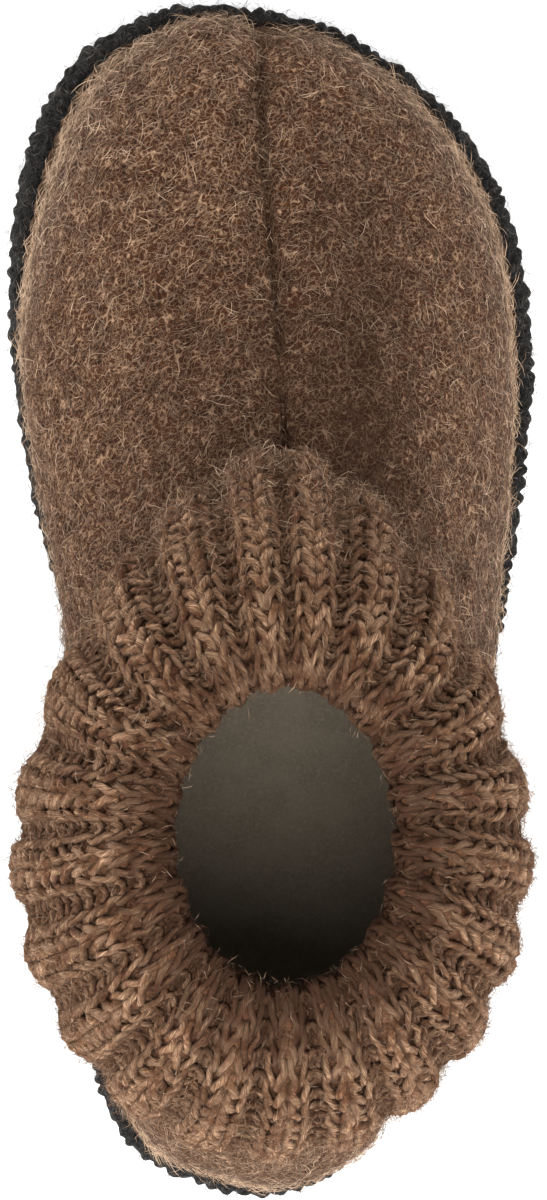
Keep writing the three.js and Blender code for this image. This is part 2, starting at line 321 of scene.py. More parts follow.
def writeValues(mesh, key, values):
    layer = mesh.attributes.new(key, "FLOAT", "POINT")
    layer.data.foreach_set("value", np.ravel(values).astype(np.float32))


def readPoints(source, field, width=1):
    values = np.zeros(len(source) * width, np.float32)
    source.foreach_get(field, values)
    return values


lumpLook = {"seedStep": (17.3, 5.1, 9.7), "fineLoss": 0.7, "finer": 2.1}


# Soft lumps of felt, from noise at one or two sizes
def lumps(points, size, seed, octaves=2):
    look = lumpLook
    offset = Vector([seed * step for step in look["seedStep"]])
    flat = (points.reshape(-1, 3) / size).tolist()
    values = [noise.fractal(Vector(p) + offset, look["fineLoss"], look["finer"], octaves) for p in flat]
    return np.array(values).reshape(points.shape[:-1])


# Node helpers: settings by name, inputs by value or by a socket to link


def addNode(tree, kind, inputs=None, **settings):
    made = tree.nodes.new(kind)
    for key, value in settings.items():
        setattr(made, key, value)
    for key, value in (inputs or {}).items():
        socket = made.inputs[key]
        if isinstance(value, bpy.types.NodeSocket):
            tree.links.new(value, socket)
        else:
            socket.default_value = value
    return made


def math2(tree, operation, a, b=0.0, c=0.0, clamp=False):
    made = addNode(tree, "ShaderNodeMath", {0: a, 1: b, 2: c}, operation=operation, use_clamp=clamp)
    return made.outputs[0]


def mixColour(tree, factor, a, b):
    made = addNode(tree, "ShaderNodeMix", {0: factor, 6: a, 7: b}, data_type="RGBA")
    return made.outputs[2]


def readFac(tree, name):
    return addNode(tree, "ShaderNodeAttribute", attribute_name=name).outputs["Fac"]


def placeGroup(tree, group, inputs):
    return addNode(tree, "ShaderNodeGroup", inputs, node_tree=group)


def newGroup(name, kind, inputs, outputs):
    tree = bpy.data.node_groups.new(name, kind)
    for socketName, socketType, default in inputs:
        socket = tree.interface.new_socket(socketName, in_out="INPUT", socket_type=socketType)
        if default is not None:
            socket.default_value = default
    for socketName, socketType in outputs:
        tree.interface.new_socket(socketName, in_out="OUTPUT", socket_type=socketType)
    return tree, tree.nodes.new("NodeGroupInput"), tree.nodes.new("NodeGroupOutput")


# Each layer of curls: its share of the scale, how many level lines it has, how much it shows
curlLook = {"layers": ((0.6, 5.0, 1.0), (0.75, 4.5, 0.9), (0.95, 4.0, 0.8), (1.2, 4.0, 0.7)),
            "draw": 0.5, "firstTurn": 0.3, "turnStep": math.pi / 4, "seedStep": 0.37, "detail": 0.6}


# Curling fibres: families of wavering lines that cross each other, each drawn out its own way
def makeCurlyFibres():
    look = curlLook
    tree, inputs, outputs = newGroup(
        "curlyFibres", "ShaderNodeTree",
        [("Vector", "NodeSocketVector", None), ("Scale", "NodeSocketFloat", 600.0),
         ("Width", "NodeSocketFloat", 0.12), ("Seed", "NodeSocketFloat", 0.0)],
        [("Mask", "NodeSocketFloat")])
    mask = None
    for number, (share, lines, show) in enumerate(look["layers"]):
        own = math2(tree, "ADD", inputs.outputs["Seed"], look["seedStep"] * number)
        turned = addNode(tree, "ShaderNodeVectorRotate", {
            "Vector": inputs.outputs["Vector"], "Angle": look["firstTurn"] + number * look["turnStep"]},
            rotation_type="Z_AXIS")
        drawn = addNode(tree, "ShaderNodeVectorMath", {
            0: turned.outputs[0], 1: (1.0, look["draw"], 1.0)}, operation="MULTIPLY")
        where = addNode(tree, "ShaderNodeVectorMath", {0: drawn.outputs[0], 1: own}, operation="ADD")
        field = addNode(tree, "ShaderNodeTexNoise", {
            "Vector": where.outputs[0], "Scale": math2(tree, "MULTIPLY", inputs.outputs["Scale"], share),
            "Detail": look["detail"]})
        near = math2(tree, "PINGPONG", math2(tree, "MULTIPLY", field.outputs["Fac"], lines), 0.5)
        line = addNode(tree, "ShaderNodeMapRange", {
            "Value": near, "From Min": 0.0, "From Max": inputs.outputs["Width"],
            "To Min": show, "To Max": 0.0})
        mask = line.outputs[0] if mask is None else math2(tree, "MAXIMUM", mask, line.outputs[0])
    tree.links.new(mask, outputs.inputs["Mask"])
    return tree


heatherLook = {"patchDetail": 3.0, "patchRough": 0.6, "patchFrom": 0.32, "patchTo": 0.68,
               "fleckDetail": 2.0, "fleckBend": 0.6, "fleckFrom": 0.5, "fleckTo": 0.72}


# Heathered colour: dark, middle and light wool mixed in soft patches and fine flecks
def makeHeather():
    look = heatherLook
    tree, inputs, outputs = newGroup(
        "heather", "ShaderNodeTree",
        [("Vector", "NodeSocketVector", None), ("Dark", "NodeSocketColor", None),
         ("Middle", "NodeSocketColor", None), ("Light", "NodeSocketColor", None),
         ("Patch Scale", "NodeSocketFloat", 60.0), ("Fleck Scale", "NodeSocketFloat", 900.0)],
        [("Color", "NodeSocketColor"), ("Patch", "NodeSocketFloat")])
    patch = addNode(tree, "ShaderNodeTexNoise", {
        "Vector": inputs.outputs["Vector"], "Scale": inputs.outputs["Patch Scale"],
        "Detail": look["patchDetail"], "Roughness": look["patchRough"]})
    soft = addNode(tree, "ShaderNodeMapRange", {
        "Value": patch.outputs["Fac"], "From Min": look["patchFrom"], "From Max": look["patchTo"]},
        interpolation_type="SMOOTHSTEP")
    fleck = addNode(tree, "ShaderNodeTexNoise", {
        "Vector": inputs.outputs["Vector"], "Scale": inputs.outputs["Fleck Scale"],
        "Detail": look["fleckDetail"], "Distortion": look["fleckBend"]})
    fine = addNode(tree, "ShaderNodeMapRange", {
        "Value": fleck.outputs["Fac"], "From Min": look["fleckFrom"], "From Max": look["fleckTo"]})
    ground = mixColour(tree, soft.outputs[0], inputs.outputs["Dark"], inputs.outputs["Middle"])
    tree.links.new(mixColour(tree, fine.outputs[0], ground, inputs.outputs["Light"]), outputs.inputs["Color"])
    tree.links.new(soft.outputs[0], outputs.inputs["Patch"])
    return tree


curlyFibres = makeCurlyFibres()
heather = makeHeather()


def startMaterial(name):
    material = bpy.data.materials.new(name)
    material.use_nodes = True
    tree = material.node_tree
    return material, tree, tree.nodes["Principled BSDF"]


def setShader(shader, values):
    for key, value in values.items():
        shader.inputs[key].default_value = value


def addRelief(tree, shader, height, strength, distance):
    relief = addNode(tree, "ShaderNodeBump", {"Height": height, "Strength": strength, "Distance": distance})
    tree.links.new(relief.outputs["Normal"], shader.inputs["Normal"])


# Felt: heathered ground with curling fibres drawn and raised on it
def feltMaterial(name, look):
    material, tree, shader = startMaterial(name)
    where = addNode(tree, "ShaderNodeTexCoord").outputs["Object"]
    ground = placeGroup(tree, heather, {
        "Vector": where, "Dark": look["dark"], "Middle": look["middle"], "Light": look["light"],
        "Patch Scale": look["patchScale"], "Fleck Scale": look["fleckScale"]})
    fibres = placeGroup(tree, curlyFibres, {
        "Vector": where, "Scale": look["fibreScale"], "Width": look["fibreWidth"], "Seed": look["seed"]})
    thick = math2(tree, "MULTIPLY_ADD", ground.outputs["Patch"], look["patchHair"], 1.0 - look["patchHair"])
    # painted light on the lower walls near the foot, with fewer and paler hairs there; painted shade along the
    # seam, where the felt is also pressed flat, on the outer side and below the cuff
    pale = readFac(tree, "pale")
    thinned = math2(tree, "MULTIPLY_ADD", pale, -look["paleThin"], 1.0, clamp=True)
    thick = math2(tree, "MULTIPLY", thick, thinned)
    drawn = math2(tree, "MULTIPLY", fibres.outputs["Mask"], look["fibreShow"])
    shown = math2(tree, "MULTIPLY", drawn, thick)
    # painted light: the hair turns paler where the pale mark is high
    rimLitMix = math2(tree, "MULTIPLY", pale, look["paleMix"], clamp=True)
    hair = mixColour(tree, rimLitMix, look["hair"], look["paleHair"])
    colour = mixColour(tree, shown, ground.outputs["Color"], hair)
    # painted shade: where the pale mark is below zero the dark tone is mixed in
    shadedMix = math2(tree, "MULTIPLY", pale, -look["shadeDark"], clamp=True)
    tree.links.new(mixColour(tree, shadedMix, colour, look["dark"]), shader.inputs["Base Color"])
    addRelief(tree, shader, fibres.outputs["Mask"], look["bump"], look["bumpHeight"])
    setShader(shader, {
        "Roughness": look["roughness"], "Specular IOR Level": look["specular"], "Sheen Weight": look["sheen"],
        "Sheen Roughness": look["sheenRough"], "Sheen Tint": look["sheenTint"]})
    return material


fibreLook = {"patchScale": 150.0, "patchDetail": 2.0, "fewPale": 2.2,
             "roughness": 0.8, "specular": 0.1, "sheen": 0.08}


# Loose fibres: one tone each, from dark to light, by the attribute stored with each fibre
def fibreMaterial(name, dark, light):
    look = fibreLook
    material, tree, shader = startMaterial(name)
    tone = readFac(tree, "tone")
    where = addNode(tree, "ShaderNodeTexCoord").outputs["Object"]
    patch = addNode(tree, "ShaderNodeTexNoise", {
        "Vector": where, "Scale": look["patchScale"], "Detail": look["patchDetail"]})
    shift = math2(tree, "MULTIPLY_ADD", patch.outputs["Fac"], 1.0, -0.5)
    # the felt's pale mark carries its painted light and painted shade onto the fibres
    mixed = math2(tree, "ADD", math2(tree, "ADD", tone, shift), readFac(tree, "pale"), clamp=True)
    # most fibres are dark, a few are pale
    paled = math2(tree, "POWER", mixed, look["fewPale"])
    tree.links.new(mixColour(tree, paled, dark, light), shader.inputs["Base Color"])
    setShader(shader, {
        "Roughness": look["roughness"], "Specular IOR Level": look["specular"],
        "Sheen Weight": look["sheen"], "Sheen Tint": light})
    return material


# Curled fibres scattered over a surface by Geometry Nodes

fibreKinds = {"kinds": 14, "sides": 3, "bend": (0.5, 2.2), "uneven": 0.3, "rise": (0.03, 0.11), "sunk": 0.012,
              "seed": 5, "tiltSide": 0.6, "tiltBack": 1.0, "tiltAhead": 0.25}


# A few curls of unit length along +X, lying near z = 0, as closed prisms pointed at both ends
def makeFibreKinds(name, thickness, segments):
    rng = np.random.default_rng(fibreKinds["seed"])
    holder = bpy.data.collections.new(name)
    scene.collection.children.link(holder)
    n = fibreKinds["sides"]
    turn = np.linspace(0, 2 * np.pi, n, endpoint=False)
    for kind in range(fibreKinds["kinds"]):
        bend = rng.uniform(*fibreKinds["bend"]) * rng.choice([-1, 1]) / segments
        bend = bend * (1 + rng.normal(0, fibreKinds["uneven"], segments - 1))
        heading = np.concatenate([[0], np.cumsum(bend)])
        heading = heading - heading.mean()
        step = np.stack([np.cos(heading), np.sin(heading)], -1) / segments
        path = np.concatenate([[[0, 0]], np.cumsum(step, 0)])
        arch = np.sin(np.pi * np.linspace(0, 1, segments + 1))
        path = np.column_stack([path, rng.uniform(*fibreKinds["rise"]) * arch - fibreKinds["sunk"]])
        points = [path[0]]
        for k in range(1, segments):
            ahead = path[k + 1] - path[k - 1]
            ahead = ahead / np.linalg.norm(ahead)
            side = np.cross(ahead, [0, 0, 1.0])
            side = side / np.linalg.norm(side)
            up = np.cross(side, ahead)
            points += [path[k] + thickness * (math.cos(a) * side + math.sin(a) * up) for a in turn]
        points.append(path[-1])
        faces = [(0, 1 + i, 1 + (i + 1) % n) for i in range(n)]
        for ring in range(1, 1 + n * (segments - 2), n):
            for i in range(n):
                j = (i + 1) % n
                faces.append((ring + i, ring + n + i, ring + n + j, ring + j))
        last = len(points) - 1 - n
        faces += [(last + i, last + n, last + (i + 1) % n) for i in range(n)]
        mesh = bpy.data.meshes.new(f"{name}{kind}")
        mesh.from_pydata(points, [], faces)
        mesh.update()
        mesh.shade_smooth()
        holder.objects.link(bpy.data.objects.new(f"{name}{kind}", mesh))
    return holder


def makeFibreTree():
    tree, inputs, outputs = newGroup(
        "scatterFibres", "GeometryNodeTree",
        [("Geometry", "NodeSocketGeometry", None), ("Density", "NodeSocketFloat", 1e5),
         ("Length", "NodeSocketFloat", 0.005), ("Length Spread", "NodeSocketFloat", 0.4),
         ("Lift", "NodeSocketFloat", 0.3), ("Seed", "NodeSocketInt", 1), ("Mask", "NodeSocketString", "fuzz"),
         ("Kinds", "NodeSocketCollection", None), ("Material", "NodeSocketMaterial", None)],
        [("Geometry", "NodeSocketGeometry")])
    fields = inputs.outputs
    fuzz = addNode(tree, "GeometryNodeInputNamedAttribute", {"Name": fields["Mask"]}, data_type="FLOAT")
    dense = math2(tree, "MULTIPLY", fields["Density"], fuzz.outputs[0])
    points = addNode(tree, "GeometryNodeDistributePointsOnFaces", {
        "Mesh": fields["Geometry"], "Density": dense, "Seed": fields["Seed"]})

    # a random turn about the normal, with a little tilt
    def turnEnd(side, ahead, around):
        return addNode(tree, "ShaderNodeCombineXYZ", {
            0: math2(tree, "MULTIPLY", fields["Lift"], side),
            1: math2(tree, "MULTIPLY", fields["Lift"], ahead), 2: around}).outputs[0]

    spin = addNode(tree, "FunctionNodeRandomValue", {
        0: turnEnd(-fibreKinds["tiltSide"], -fibreKinds["tiltBack"], 0.0),
        1: turnEnd(fibreKinds["tiltSide"], fibreKinds["tiltAhead"], 2 * math.pi),
        "Seed": fields["Seed"]}, data_type="FLOAT_VECTOR")
    tilt = addNode(tree, "FunctionNodeEulerToRotation", {"Euler": spin.outputs[0]})
    turned = addNode(tree, "FunctionNodeRotateRotation", {
        "Rotation": points.outputs["Rotation"], "Rotate By": tilt.outputs[0]}, rotation_space="LOCAL")

    spread = addNode(tree, "FunctionNodeRandomValue", {
        2: math2(tree, "SUBTRACT", 1.0, fields["Length Spread"]),
        3: math2(tree, "ADD", 1.0, fields["Length Spread"]), "Seed": fields["Seed"]}, data_type="FLOAT")
    size = math2(tree, "MULTIPLY", spread.outputs[1], fields["Length"])
    tone = addNode(tree, "FunctionNodeRandomValue", {2: 0.0, 3: 1.0}, data_type="FLOAT")
    toned = addNode(tree, "GeometryNodeStoreNamedAttribute", {
        "Geometry": points.outputs["Points"], "Name": "tone", "Value": tone.outputs[1]},
        data_type="FLOAT", domain="POINT")
    kinds = addNode(tree, "GeometryNodeCollectionInfo", {
        "Collection": fields["Kinds"], "Separate Children": True, "Reset Children": True})
    pick = addNode(tree, "FunctionNodeRandomValue", {4: 0, 5: fibreKinds["kinds"] - 1}, data_type="INT")
    scattered = addNode(tree, "GeometryNodeInstanceOnPoints", {
        "Points": toned.outputs[0], "Instance": kinds.outputs[0], "Pick Instance": True,
        "Instance Index": pick.outputs[2], "Rotation": turned.outputs[0], "Scale": size})
    real = addNode(tree, "GeometryNodeRealizeInstances", {"Geometry": scattered.outputs[0]})
    dressed = addNode(tree, "GeometryNodeSetMaterial", {
        "Geometry": real.outputs[0], "Material": fields["Material"]})
    tree.links.new(dressed.outputs[0], outputs.inputs[0])
    return tree


# Runs a tree on a carrier mesh and keeps the result as a plain mesh of its own
def growOn(carrier, name, tree, values):
    host = addObject(name, carrier.data.copy())
    modifier = host.modifiers.new("grow", "NODES")
    modifier.node_group = tree
    for socket in tree.interface.items_tree:
        if socket.item_type == "SOCKET" and socket.in_out == "INPUT" and socket.name in values:
            modifier[socket.identifier] = values[socket.name]
    graph = bpy.context.evaluated_depsgraph_get()
    grown = bpy.data.meshes.new_from_object(
        host.evaluated_get(graph), preserve_all_data_layers=True, depsgraph=graph)
    grown.name = name
    host.modifiers.clear()
    host.data = grown
    print(f"{name}: {sum(len(p.vertices) - 2 for p in grown.polygons)} triangles")
    return host


# Upper

upperLook = {
    "columns": 420, "outerRows": 78, "innerRows": 10, "wall": 3.4, "seamCrowd": 0.7,
    "lumpSize": 9.0, "lumpHeight": 0.55, "lumpSeed": 1, "tuftSize": 2.8, "tuftHeight": 0.6, "tuftSeed": 2,
    "freeFrom": (0.0, 0.12), "freeTo": (1.0, 0.9),
    # seam, with the puckers along it and the fuller half beside it at the toe
    "seamDepth": 2.3, "seamWidth": 5.5, "seamOver": (0.02, 0.1), "creaseDepth": 2.4, "creaseWidth": 0.8,
    "pucker": 1.0, "puckerLength": 5.0, "puckerSeed": 5, "seamLean": -4.3, "leanOver": (0.42, 0.95),
    "toeCrease": 0.9, "toeOver": (0.5, 0.2), "toeLobe": 2.0, "lobeAt": 11.0, "lobeWidth": 9.0,
    "lobeFrom": (0.04, 0.2), "lobeTo": (0.65, 0.35),
    # how far the foot and the heel are drawn in
    "footTuck": 0.7, "tuckOver": (0.3, 0.12), "heelTuck": 1.5, "heelSpan": 0.12, "heelOver": (0.8, 0.45),
    # where loose fibres grow
    "seamFuzz": 0.15, "bareSeam": (0.3, 1.1), "hairyFoot": 3.2, "hairyOver": (0.3, 0.1),
    "bareFoot": (0.06, 0.1), "underCuff": (0.93, 0.88),
    # painted light on the lower walls and flanks, less of it at the toe; painted shade along the seam, on the
    # outer side and on the instep below the cuff
    "paleRim": 0.8, "rimOver": (0.42, 0.1), "darkToe": 0.9, "toeSpan": 0.08,
    "paleFlank": 0.22, "flankOver": (50.0, -5.0), "flankBack": (-110.0, -70.0), "flankUp": (0.8, 0.4),
    "darkSeam": 0.08, "darkWidth": 2.0, "darkInstep": 0.22, "instepOver": (0.55, 0.85), "instepSpan": 0.16,
    "darkOuter": 0.25, "outerAt": 26.0, "outerWidth": 20.0, "outerOver": (0.3, 0.6),
}
# the pale hair colour is the hairs' painted light on the lower walls; the dark tone is also the painted shade's
# colour
feltLook = {
    "dark": (0.022, 0.0068, 0.0026, 1), "middle": (0.058, 0.0198, 0.0076, 1),
    "light": (0.1, 0.0365, 0.0142, 1), "hair": (0.55, 0.335, 0.205, 1), "paleHair": (0.86, 0.68, 0.52, 1),
    "patchHair": 0.4, "patchScale": 210.0, "fleckScale": 1100.0,
    "fibreScale": 700.0, "fibreWidth": 0.1, "fibreShow": 1.0, "seed": 1.0,
    "paleThin": 0.5, "paleMix": 0.8, "shadeDark": 1.6, "bump": 0.8, "bumpHeight": 0.0005,
    "roughness": 0.9, "specular": 0.15, "sheen": 0.08, "sheenRough": 0.5, "sheenTint": (0.62, 0.4, 0.27, 1),
}


# How far the seam has drifted sideways, in mm: to the outer side of the foot where negative
def seamLean(height):
    return upperLook["seamLean"] * smoothstep(*upperLook["leanOver"], height)


# How much loose fibre the felt carries, and its pale mark: painted light where above zero, painted shade where
# below
def upperMarks(share, height, fromSeam, forward, beat):
    look = upperLook
    fuzz = rising(look["seamFuzz"], smoothstep(*look["bareSeam"], np.abs(fromSeam)))
    fuzz = fuzz * (1 + look["hairyFoot"] * smoothstep(*look["hairyOver"], height))
    fuzz = fuzz * smoothstep(*look["bareFoot"], height)
    fuzz = fuzz * smoothstep(*look["underCuff"], height)
    # painted light on the lower walls, less at the toe, and on the flanks
    sides = 1 - look["darkToe"] * bell(share - toeShare, look["toeSpan"])
    pale = look["paleRim"] * sides * smoothstep(*look["rimOver"], height)
    flank = smoothstep(*look["flankOver"], forward) * smoothstep(*look["flankBack"], forward)
    pale = pale + look["paleFlank"] * flank * smoothstep(*look["flankUp"], height)
    # painted shade along the seam, where the felt is also pressed flat, on the outer side and on the instep
    # below the cuff
    pale = pale - look["darkSeam"] * beat * bell(fromSeam, look["darkWidth"])
    outerSide = bell(fromSeam + look["outerAt"], look["outerWidth"]) * smoothstep(*look["outerOver"], height)
    pale = pale - look["darkOuter"] * outerSide
    instep = look["darkInstep"] * smoothstep(*look["instepOver"], height)
    pale = pale - instep * bell(share - toeShare, look["instepSpan"])
    return fuzz, pale


def makeUpper():
    look = upperLook
    spread = np.linspace(-0.5, 0.5, look["columns"], endpoint=False)
    columns = toeShare + spread * (1 - look["seamCrowd"]) + 4 * look["seamCrowd"] * spread**3
    share, height = np.meshgrid(columns, np.linspace(0, 1, look["outerRows"]), indexing="ij")
    outer = upperAt(share, height)
    forward = outer[..., 1]
    normal = normalsOf(upperAt, share, height)
    around = np.linalg.norm(np.gradient(outer, axis=0), axis=-1) / np.abs(np.gradient(share, axis=0))
    fromSeam = (share - toeShare) * around - seamLean(height)
    shown = smoothstep(*look["seamOver"], height)
    beat = 1 + look["pucker"] * lumps(outer, look["puckerLength"], look["puckerSeed"])
    trough = look["seamDepth"] * bell(fromSeam, look["seamWidth"])
    crease = look["creaseDepth"] * beat * bell(fromSeam, look["creaseWidth"])
    crease = crease * (1 + look["toeCrease"] * smoothstep(*look["toeOver"], height))
    # the inner half stands out further than the other beside the seam, just above the band
    lobe = look["toeLobe"] * bell(fromSeam - look["lobeAt"], look["lobeWidth"])
    lobe = lobe * smoothstep(*look["lobeFrom"], height) * smoothstep(*look["lobeTo"], height)
    free = smoothstep(*look["freeFrom"], height) * smoothstep(*look["freeTo"], height)
    soft = look["lumpHeight"] * lumps(outer, look["lumpSize"], look["lumpSeed"])
    soft = soft + look["tuftHeight"] * lumps(outer, look["tuftSize"], look["tuftSeed"], 1)
    fromHeel = np.minimum(np.mod(share, 1), 1 - np.mod(share, 1))
    heelTuck = bell(fromHeel, look["heelSpan"]) * smoothstep(*look["heelOver"], height)
    tuck = look["footTuck"] * smoothstep(*look["tuckOver"], height) + look["heelTuck"] * heelTuck
    outer = outer + normal * (soft * free + lobe - tuck - (trough + crease) * shown)[..., None]

    innerHeights = np.linspace(1, 0, look["innerRows"])
    innerShare, innerHeight = np.meshgrid(columns, innerHeights, indexing="ij")
    inner = upperAt(innerShare, innerHeight)
    innerFromSeam = (innerShare - toeShare) * perimeter - seamLean(innerHeight)
    innerTrough = look["seamDepth"] * bell(innerFromSeam, look["seamWidth"])
    depth = look["wall"] + innerTrough * smoothstep(*look["seamOver"], innerHeight)
    inner = inner - normalsOf(upperAt, innerShare, innerHeight) * depth[..., None]
    inner[:, -1, 2] = outer[:, 0, 2]
    unmarked = np.zeros_like(innerHeight)
    fuzz, pale = (np.concatenate([mark, unmarked], 1)
                  for mark in upperMarks(share, height, fromSeam, forward, beat))
    return ringMesh("upperFelt", np.concatenate([outer, inner], 1), {"fuzz": fuzz, "pale": pale})


feltBrown = feltMaterial("feltBrown", feltLook)
upperFelt = addObject("upperFelt", makeUpper(), feltBrown)
print("upper felt:", len(upperFelt.data.polygons), "faces")

# Cuff: a base sheet with rib-knit yarn over it; the sheet is coloured darker than the yarn, as painted shade in
# the gaps between the stitches

cuffLook = {
    "ribs": 21, "stitches": 84, "ribDepth": 1.7, "seamTurn": 0.12, "seed": 7,
    "flatInside": 0.3, "flatTo": (0.36, 0.55), "flatHem": 0.2, "flatHemOver": (0.75, 1.0),
    "sheet": 1.4, "baseColumns": 168, "baseRows": 24, "baseSunk": 0.5,
    # courses of knitting and the loops in them
    "coursePitch": 4.5, "outerCourses": 16, "sidePoints": 800, "ringPoints": 200,
    "pointsPerStitch": 10, "yarnSides": 5, "insidePoints": 8, "insideSides": 4,
    "loopWidth": 0.3, "loopHeight": 0.78, "loopDepth": 1.1, "faceSharp": 4,
    "crowdFold": 0.76, "crowdHem": 0.64, "crowdPower": 1.4, "wander": 0.9, "wanderSize": 4.0,
    "yarnShare": 0.175, "yarnFill": 1.05, "yarnThin": 0.8, "yarnThick": 1.15, "unevenYarn": 0.3,
    "unevenSize": 6.0,
    # twisted edge of the hem
    "edgeIn": 1.3, "edgeSway": 0.9, "edgeDepth": 0.7, "edgeThick": 0.95, "edgePoints": 8,
    # painted light and shade on the yarn
    "innerShade": 0.95, "shadeFront": 0.4, "shadeBack": (0, -50), "shadeOver": (11.5, 8),
    "furrowLit": 0.54, "sideLit": 0.24, "topOver": (0.1, 0.95),
    "hemShade": 0.15, "hemFrom": (17, 21), "hemSides": 0.2, "hemFront": (0, 25),
    # where loose fibres grow
    "outsideOver": (-0.1, 0.85), "innerFuzz": 0.26, "fuzzOver": (10, 17), "frontFuzz": 2.4,
}


# Ribs stand up to one height: inside the opening their furrows are shallow, outside they are deep
def ribAt(wave, along):
    depth = rising(cuffLook["flatInside"], smoothstep(*cuffLook["flatTo"], along))
    depth = depth * (1 - cuffLook["flatHem"] * smoothstep(*cuffLook["flatHemOver"], along))
    return cuffLook["ribDepth"] * (1 - depth * (1 - wave))


def sheetNormal(share, along):
    normal = -normalsOf(sheetAt, share, along)
    square = smoothstep(0, cuffLook["seamTurn"], along)
    normal[..., 2] *= square
    return normal / np.linalg.norm(normal, axis=-1, keepdims=True)


def makeCuffBase():
    look = cuffLook
    share, along = np.meshgrid(np.arange(look["baseColumns"]) / look["baseColumns"],
                               np.linspace(0, 1, look["baseRows"]), indexing="ij")
    middle = sheetAt(share, along)
    normal = sheetNormal(share, along)
    rib = ribAt(np.cos(2 * np.pi * look["ribs"] * share), along)
    face = middle + normal * (rib + look["sheet"] / 2 - look["baseSunk"])[..., None]
    back = middle + normal * (rib - look["sheet"] / 2 - look["baseSunk"])[..., None]
    return ringMesh("cuffBase", np.concatenate([back, face[:, ::-1]], 1))


def stepsOf(path):
    return np.linalg.norm(np.diff(path, axis=0), axis=1)


# Length of the sheet from the collar, at its side, for spacing the courses
def courseAlongs():
    points = cuffLook["sidePoints"]
    along = np.linspace(0, 1, points)
    side = np.full(points, 0.25)
    travelled = np.concatenate([[0], np.cumsum(stepsOf(sheetAt(side, along)))])
    count = int(round(travelled[-1] / cuffLook["coursePitch"]))
    at = (np.arange(count) + 0.5) / count * travelled[-1]
    return at, along, travelled


# One course of 2 by 2 rib: legs in front on knit wales, arcs in front on purl wales
def coursePath(course, courseAt, alongTable, lengthTable, perStitch):
    look = cuffLook
    count = look["stitches"] * perStitch
    t = 2 * np.pi * np.arange(count) / perStitch
    wale = t / (2 * np.pi) + look["loopWidth"] * np.sin(2 * t)
    length = courseAt + look["loopHeight"] * look["coursePitch"] * np.cos(t)
    along = np.interp(np.clip(length, 0, lengthTable[-1]), lengthTable, alongTable)
    quarter = np.mod(wale / 4, 1)
    fromFold = np.abs(2 * along - 1) ** look["crowdPower"]
    crowd = look["crowdFold"] + (look["crowdHem"] - look["crowdFold"]) * fromFold
    inRib = quarter + crowd / (2 * np.pi) * np.sin(2 * np.pi * (quarter - 0.25))
    share = (np.floor(wale / 4) + inRib - 0.25) / look["ribs"]
    face = np.tanh(look["faceSharp"] * np.sin(2 * np.pi * quarter))
    rib = ribAt(np.sin(2 * np.pi * quarter), along)
    offset = rib - face * look["loopDepth"] * np.cos(2 * t)
    out = sheetNormal(share, along)
    spot = sheetAt(share, along) + out * offset[:, None]
    spots = [Vector(p) for p in spot.tolist()]
    drift = Vector((course, 0, 0))
    shift = np.array([noise.noise_vector(p / look["wanderSize"] + drift) for p in spots])
    # the yarn fills its wale, within its own thickness
    points = look["ringPoints"]
    ring = stepsOf(sheetAt(np.linspace(0, 1, points), np.full(points, along.mean()))).sum()
    wide = ring / look["stitches"] * (1 + crowd * np.sin(2 * np.pi * quarter))
    thick = np.clip(look["yarnShare"] * wide * look["yarnFill"], look["yarnThin"], look["yarnThick"])
    uneven = np.array([noise.noise(p / look["unevenSize"]) for p in spots])
    thick = thick * (1 + look["unevenYarn"] * uneven)
    return spot + shift * look["wander"], thick, out, 0.5 + 0.5 * np.sin(2 * np.pi * quarter)


# Two strands twisted round each other along the hem
def edgePath(strand, alongTable, lengthTable):
    look = cuffLook
    count = look["stitches"] * look["edgePoints"]
    share = np.arange(count) / count
    turn = np.pi * (2 * np.arange(count) / look["edgePoints"] + strand)
    length = lengthTable[-1] - look["edgeIn"] + look["edgeSway"] * np.cos(turn)
    along = np.interp(length, lengthTable, alongTable)
    wave = np.cos(2 * np.pi * look["ribs"] * share)
    out = sheetNormal(share, along)
    offset = ribAt(wave, along) + look["edgeDepth"] * (1 + np.sin(turn))
    spot = sheetAt(share, along) + out * offset[:, None]
    return spot, np.full(count, look["edgeThick"]), out, 0.5 + 0.5 * wave


# The chosen courses, with the hem's edge where asked
def makeYarnPath(name, chosen, perStitch, edged=False):
    noise.seed_set(cuffLook["seed"])
    at, *tables = courseAlongs()
    runs = [(course, coursePath(course, at[course], *tables, perStitch)) for course in range(len(at))[chosen]]
    runs += [(len(at) + strand, edgePath(strand, *tables)) for strand in (0, 1) if edged]
    return runsMesh(name, runs)


